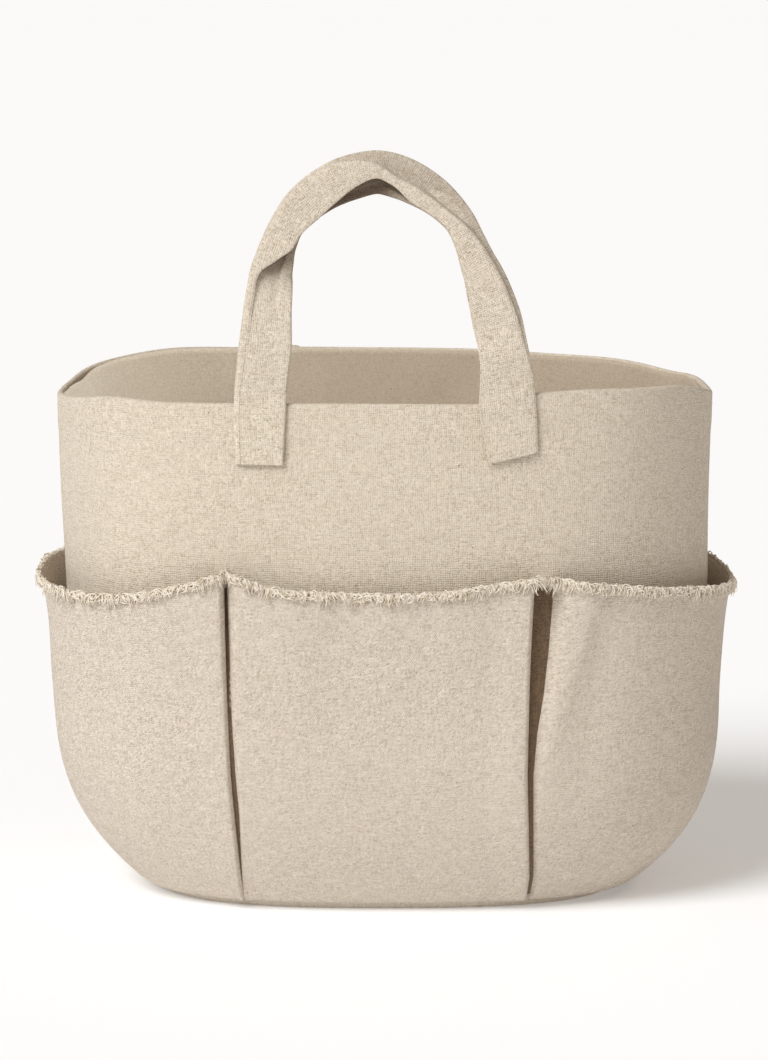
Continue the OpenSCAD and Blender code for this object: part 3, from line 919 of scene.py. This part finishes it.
def strap_rings():
    """Rings of the standing strap: x, distance forward from its middle plane and height above the
    rim, in metres, with the distance along and round the strap for its cloth, and its painted shade:
    the layer behind, deep under the front one, and the outer edge past the crease are painted darker
    as shade."""
    rows = spline(STRAP_STATIONS, STEPS_ALONG)
    place = rows[:, :2]
    way = unit(np.gradient(place, axis=0))
    inward = np.column_stack([way[:, 1], -way[:, 0]])
    # the sewn ends run straight, whatever way their outer edge leans
    sewn = smooth(place[:, 1], 14, 2)[:, None]
    at_right = (place[:, 0] > 0) * 1.0
    level_way = np.column_stack([1 - 2 * at_right, -0.2 * at_right])
    inward = unit(mix(inward, level_way, sewn))
    rings, cloth, shade = [], [], []
    for p, n, row, along in zip(place, inward, rows, running_length(place)):
        outline = strap_section(*row[2:])
        closed = spline(np.vstack([outline, outline[:1]]), STEPS_ROUND)[:-1]
        girth = running_length(closed)
        in_by, forward = closed.T
        rings.append(np.column_stack([p[0] + n[0] * in_by, forward, p[1] + n[1] * in_by]))
        cloth.append(np.column_stack([girth, np.full(len(closed), along), 0 * girth]))
        corner = np.arange(len(closed)) / STEPS_ROUND
        crease, level = row[3], row[5]
        is_behind = (corner > BEHIND_FROM) * (corner < BEHIND_TO)
        is_past = (corner < CREASE_END) * (crease > 1.4)
        # Painted shade: the layer behind, under the front one, and the outer edge past a wide crease
        # darken with their depth
        painted_under_shade = np.clip((level - forward - 2) / 7, 0, 1) * is_behind
        painted_crease_shade = np.clip((level - forward) / 8, 0, 1) * is_past * 0.3
        shade.append(painted_under_shade + painted_crease_shade)
    return np.array(rings) * MM, np.array(cloth) * MM, np.array(shade)


# The sewn ends follow the wall as it is this far below the rim
SEWN_BELOW = 4 * MM

# Half the strap's thickness, and how far its middle plane lies inwards of the hinge line
STRAP_HALF = 1.6 * MM
HINGE_OFFSET = 2.2 * MM

# Where the hanging strap's fold starts below the rim, and the strap's length in it
FOLD_BELOW = 4.5 * MM
FOLD_LENGTH = 9 * MM


def wall_front(x, z):
    """Distance of the front wall from the middle plane at x and z."""
    return -wall(turn_at_x(x, z, FRONT), z, 0)[..., 1]


def end_caps(rings):
    """Adds two smaller rings at both ends, so that the folded ends are rounded."""
    def caps(ring, after):
        middle = ring.mean(axis=0)
        onward = middle - after.mean(axis=0)
        return [middle + (ring - middle) * [share, share, 1] + onward * reach
                for share, reach in ((0.97, 0.25), (0.9, 0.4))]

    first, last = caps(rings[0], rings[1]), caps(rings[-1], rings[-2])
    return np.concatenate([first[::-1], rings, last])


def strap(name, at_back):
    """Strap in one length with both sewn ends, standing in front or hanging down behind."""
    rings, cloth, shade = strap_rings()
    x, forward, height = rings[..., 0], rings[..., 1], rings[..., 2]
    z = RIM_Z + height
    sewn_plane = wall_front(x, np.minimum(z, RIM_Z - SEWN_BELOW)) + LAYER_GAP + STRAP_HALF
    free_plane = -FRONT_HINGE[1] - HINGE_OFFSET
    plane = mix(sewn_plane, free_plane, smooth(z, RIM_Z - 2 * MM, RIM_Z + 40 * MM))
    ribs = 0.22 * MM * np.sin(2 * math.pi * z / (2.3 * MM)) * bell(z, RIM_Z + 6 * MM, 13 * MM)
    rock = 0.5 * MM * ripples(33, rings, 30 * MM)
    out = plane + forward + rock * (height > 0) + ribs * np.sign(forward)
    rings = np.stack([x + 0.3 * rock, -out, z], axis=-1)
    if at_back:
        rings = hang_down(rings)
    rings = end_caps(rings)
    row = np.pad(np.arange(len(cloth)), 2, mode="edge")
    return piece(
        name, rings.reshape(-1, 3), ring_faces(*rings.shape[:2]), STRAP_CLOTH,
        cloth[row].reshape(-1, 3), body=None, shade=shade[row],
    )


def hang_down(rings):
    """Turns the standing strap to the back and drops its free part over the hinge line, bending
    it in a short fold at the rim."""
    x, y, height = np.moveaxis(rings * [-1, -1, 1], -1, 0)
    plane, low = BACK_HINGE[1] - HINGE_OFFSET, RIM_Z - FOLD_BELOW
    turn = HANG_ANGLE * np.clip((height - low) / FOLD_LENGTH, 0, 1)
    # middle line of the fold: a bend of constant radius, then straight
    radius = FOLD_LENGTH / HANG_ANGLE
    across = y - plane
    beyond = np.clip(height - low - FOLD_LENGTH, 0, None)
    y = plane + radius * (1 - np.cos(turn)) + beyond * np.sin(HANG_ANGLE)
    z = np.clip(height, None, low) + radius * np.sin(turn) + beyond * np.cos(HANG_ANGLE)
    return np.stack([x, y + across * np.cos(turn), z - across * np.sin(turn)], axis=-1)


# ---- Stitching ----

# Distance from the middle of a sewn strap end to where the rim's seam starts
SEAM_CLEAR = 19 * MM

# Length of a stitch, and of one on the strap ends
STITCH = 3.2 * MM
TAB_STITCH = 2.8 * MM

# Seam boxes of the two sewn ends: x of the left and right sides, and their lower ends' heights
# from the rim
LEFT_TAB = -86 * MM, -64 * MM, -31.5 * MM, -31.5 * MM
RIGHT_TAB = 63 * MM, 86 * MM, -30.5 * MM, -26 * MM


def stitches(name, rows, length):
    """Rows of stitches, each row an array of points along a seam. The stitches lie apart by about
    half their length, and get thin at both ends, where they enter the cloth."""
    paths = []
    for points in rows:
        run = running_length(points)
        for start in np.arange(0.4 * length, run[-1] - length, 1.45 * length):
            at = start + np.linspace(0, length, 6)
            paths.append(np.column_stack([np.interp(at, run, points[:, k]) for k in range(3)]))
    paths = np.array(paths)
    thick = np.tile(np.array([0.1, 0.22, 0.26, 0.26, 0.22, 0.1]) * MM, (len(paths), 1))
    points, faces = tubes(paths, thick, 6)
    return piece(name, points, faces, THREAD)


def rim_seam():
    """Seam that holds the turned-in facing, between the strap ends."""
    a = even_turns(-math.pi, math.pi, 2 * MM)
    points = wall(a, rim_height(a) - 8 * MM, 0.35 * MM)
    free = np.abs(np.abs(points[:, 0]) - STRAP_X) > SEAM_CLEAR
    breaks = np.flatnonzero(np.diff(free.astype(int))) + 1
    return [run for run, ok in zip(np.split(points, breaks), np.split(free, breaks)) if ok[0]]


def tab_seam(left, right, low_left, low_right, at_back):
    """Box of stitching round one sewn strap end."""
    top = -6 * MM
    start = [left, top]
    corners = np.array([start, [left, low_left], [right, low_right], [right, top], start])
    steps = np.linspace(0, 1, 24)[:, None]
    line = np.concatenate([mix(a, b, steps) for a, b in zip(corners, corners[1:])])
    x, z = line[:, 0], RIM_Z + line[:, 1]
    y = -(wall_front(x, np.minimum(z, RIM_Z - SEWN_BELOW)) + LAYER_GAP + 3.1 * MM)
    points = np.column_stack([x, y, z])
    return points * [-1, -1, 1] if at_back else points


def pleat_seam(middle, way):
    """Seam down the floor of a pleat, under its crisp edge."""
    z = np.linspace(130 * MM, 190 * MM, 40)
    near, far = pleat_edges(z, middle, way)
    crisp = near if (way > 0) == (middle == FRONT) else far
    return wall(crisp, z, 0.4 * MM + 0.8 * CANVAS + 0.3 * MM)


def foot_seam(pocket):
    """Seam along the lower edge of a pocket."""
    z = POCKET_BOTTOM + 4.5 * MM
    u = np.linspace(-0.96, 0.96, 200)
    return pocket.surface(u, np.full_like(u, z), 1)[0]


# ---- Camera, light and floor ----

CAMERA_PLACE = -0.0016, -3.2, 0.6975
CAMERA_DOWN = 0.149
SENSOR_WIDTH = 36
LENS = 246.2
FLOOR_HALF = 30


def camera():
    data = bpy.data.cameras.new("camera")
    data.sensor_fit = "HORIZONTAL"
    data.sensor_width = SENSOR_WIDTH
    data.lens = LENS
    data.clip_end = 2 * FLOOR_HALF
    obj = link(bpy.data.objects.new("camera", data))
    obj.location = CAMERA_PLACE
    obj.rotation_euler = (math.pi / 2 - CAMERA_DOWN, 0, 0)
    bpy.context.scene.camera = obj


def sun(name, energy, size, tint, tilt, turn):
    """Far light of an apparent size, tilted from straight down and turned, in degrees."""
    light = bpy.data.lights.new(name, "SUN")
    light.energy = energy
    light.angle = math.radians(size)
    light.color = tint
    obj = link(bpy.data.objects.new(name, light))
    obj.rotation_euler = (math.radians(tilt), 0, math.radians(turn))
    return obj


def studio():
    """Pale floor, warm soft surroundings, one large soft light from the front left, and a weaker
    one from the right that falls only on the linings. Returns the latter."""
    world = bpy.data.worlds.new("studio")
    world.use_nodes = True
    world.node_tree.nodes["Background"].inputs[0].default_value = (1.0, 0.9, 0.79, 1)
    world.node_tree.nodes["Background"].inputs[1].default_value = 0.345
    bpy.context.scene.world = world
    bpy.context.scene.view_settings.view_transform = "Standard"
    sun("key", 2.5, 32, (0.96, 0.985, 1.0), tilt=50, turn=-40)
    inside = sun("inside", 3.1, 30, (0.88, 0.95, 1.0), tilt=70, turn=90)
    mesh = bpy.data.meshes.new("floor")
    corners = [(x * FLOOR_HALF, y * FLOOR_HALF, 0) for x, y in ((-1, -1), (1, -1), (1, 1), (-1, 1))]
    mesh.from_pydata(corners, [], [(0, 1, 2, 3)])
    mesh.materials.append(Shader("floor").look(
        Base_Color=(0.94, 0.95, 0.97, 1), Roughness=0.9,
        Emission_Color=(1, 1, 1, 1), Emission_Strength=0.2,
    ))
    floor = link(bpy.data.objects.new("floor", mesh))
    floor.location.z = -0.5 * MM
    return inside


# ---- Putting it together ----

def stand_for(obj, slot, *nodes):
    """Hides the nodes of the frame that a piece stands for, and returns the piece. slot is not used.
    """
    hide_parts(*nodes)
    return obj


camera()
inside_light = studio()

front_body = body_half("front_body", -math.pi, 0)
back_body = body_half("back_body", 0, math.pi)
base = floor_disc("base", 0, -CANVAS - LAYER_GAP, CANVAS, CANVAS_CLOTH)
stand_for(front_body, "canvas", "front_body_panel", "rim_facing")
stand_for(back_body, "canvas", "back_body_panel", "rim_facing")
stand_for(base, "canvas", "base_panel")

LINING_IN = 2 * CANVAS + LINING + 3 * LAYER_GAP
front_lining = lining_half("front_lining_cloth", -math.pi, 0)
back_lining = lining_half("back_lining_cloth", 0, math.pi)
base_lining = floor_disc(
    "base_lining_cloth", CANVAS + LAYER_GAP, -LINING_IN, LINING, LINING_CLOTH
)
stand_for(front_lining, "lining", "front_lining")
stand_for(back_lining, "lining", "back_lining")
stand_for(base_lining, "lining", "base_lining")
lit_linings = bpy.data.collections.new("linings")
for panel in (front_lining, back_lining, base_lining):
    lit_linings.objects.link(panel)
inside_light.light_linking.receiver_collection = lit_linings

POCKETS = [
    Pocket("front_pocket_cloth", FRONT, FRONT_FLARES, (FRONT_OPEN, CRISP), (-1, 1), 101),
    Pocket("back_pocket_cloth", BACK, FRONT_FLARES, (FRONT_OPEN, CRISP), (-1, 1), 202),
    Pocket("right_pocket_cloth", RIGHT, SIDE_FLARES, (SIDE_OPEN, CRISP), (-1,), 303),
    Pocket("left_pocket_cloth", LEFT, SIDE_FLARES, (SIDE_OPEN, CRISP), (-1,), 404),
]
for pocket in POCKETS:
    panel, fray = pocket.build(), pocket.fray()
    stand_for(panel, "pocket_canvas", pocket.name.replace("_cloth", ""))
    pocket.flat_size()

for name, middle, way, panel in (
    ("front_left_pleat", FRONT, -1, "front_body"), ("front_right_pleat", FRONT, 1, "front_body"),
    ("back_left_pleat", BACK, -1, "back_body"), ("back_right_pleat", BACK, 1, "back_body"),
):
    channel, flat = pleat(name + "_cloth", middle, way)
    stand_for(channel, "pocket_canvas", name)

front_strap = strap("front_strap_cloth", False)
back_strap = strap("back_strap_cloth", True)
stand_for(front_strap, "strap", "front_handle", "front_left_tab", "front_right_tab")
stand_for(back_strap, "strap", "back_handle", "back_left_tab", "back_right_tab")
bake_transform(front_strap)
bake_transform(back_strap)

tab_seams = [tab_seam(*tab, at_back) for tab in (LEFT_TAB, RIGHT_TAB) for at_back in (False, True)]
pleat_seams = [pleat_seam(middle, way) for middle in (FRONT, BACK) for way in (-1, 1)]
foot_seams = [foot_seam(pocket) for pocket in POCKETS]
for name, node, seams, length in (
    ("rim_stitches", "rim_stitching", rim_seam(), STITCH),
    ("tab_stitches", "handle_stitching", tab_seams, TAB_STITCH),
    ("pleat_stitches", "pleat_stitching", pleat_seams, STITCH),
    ("foot_stitches", "base_stitching", foot_seams, STITCH),
):
    stand_for(stitches(name, seams, length), "thread", node)
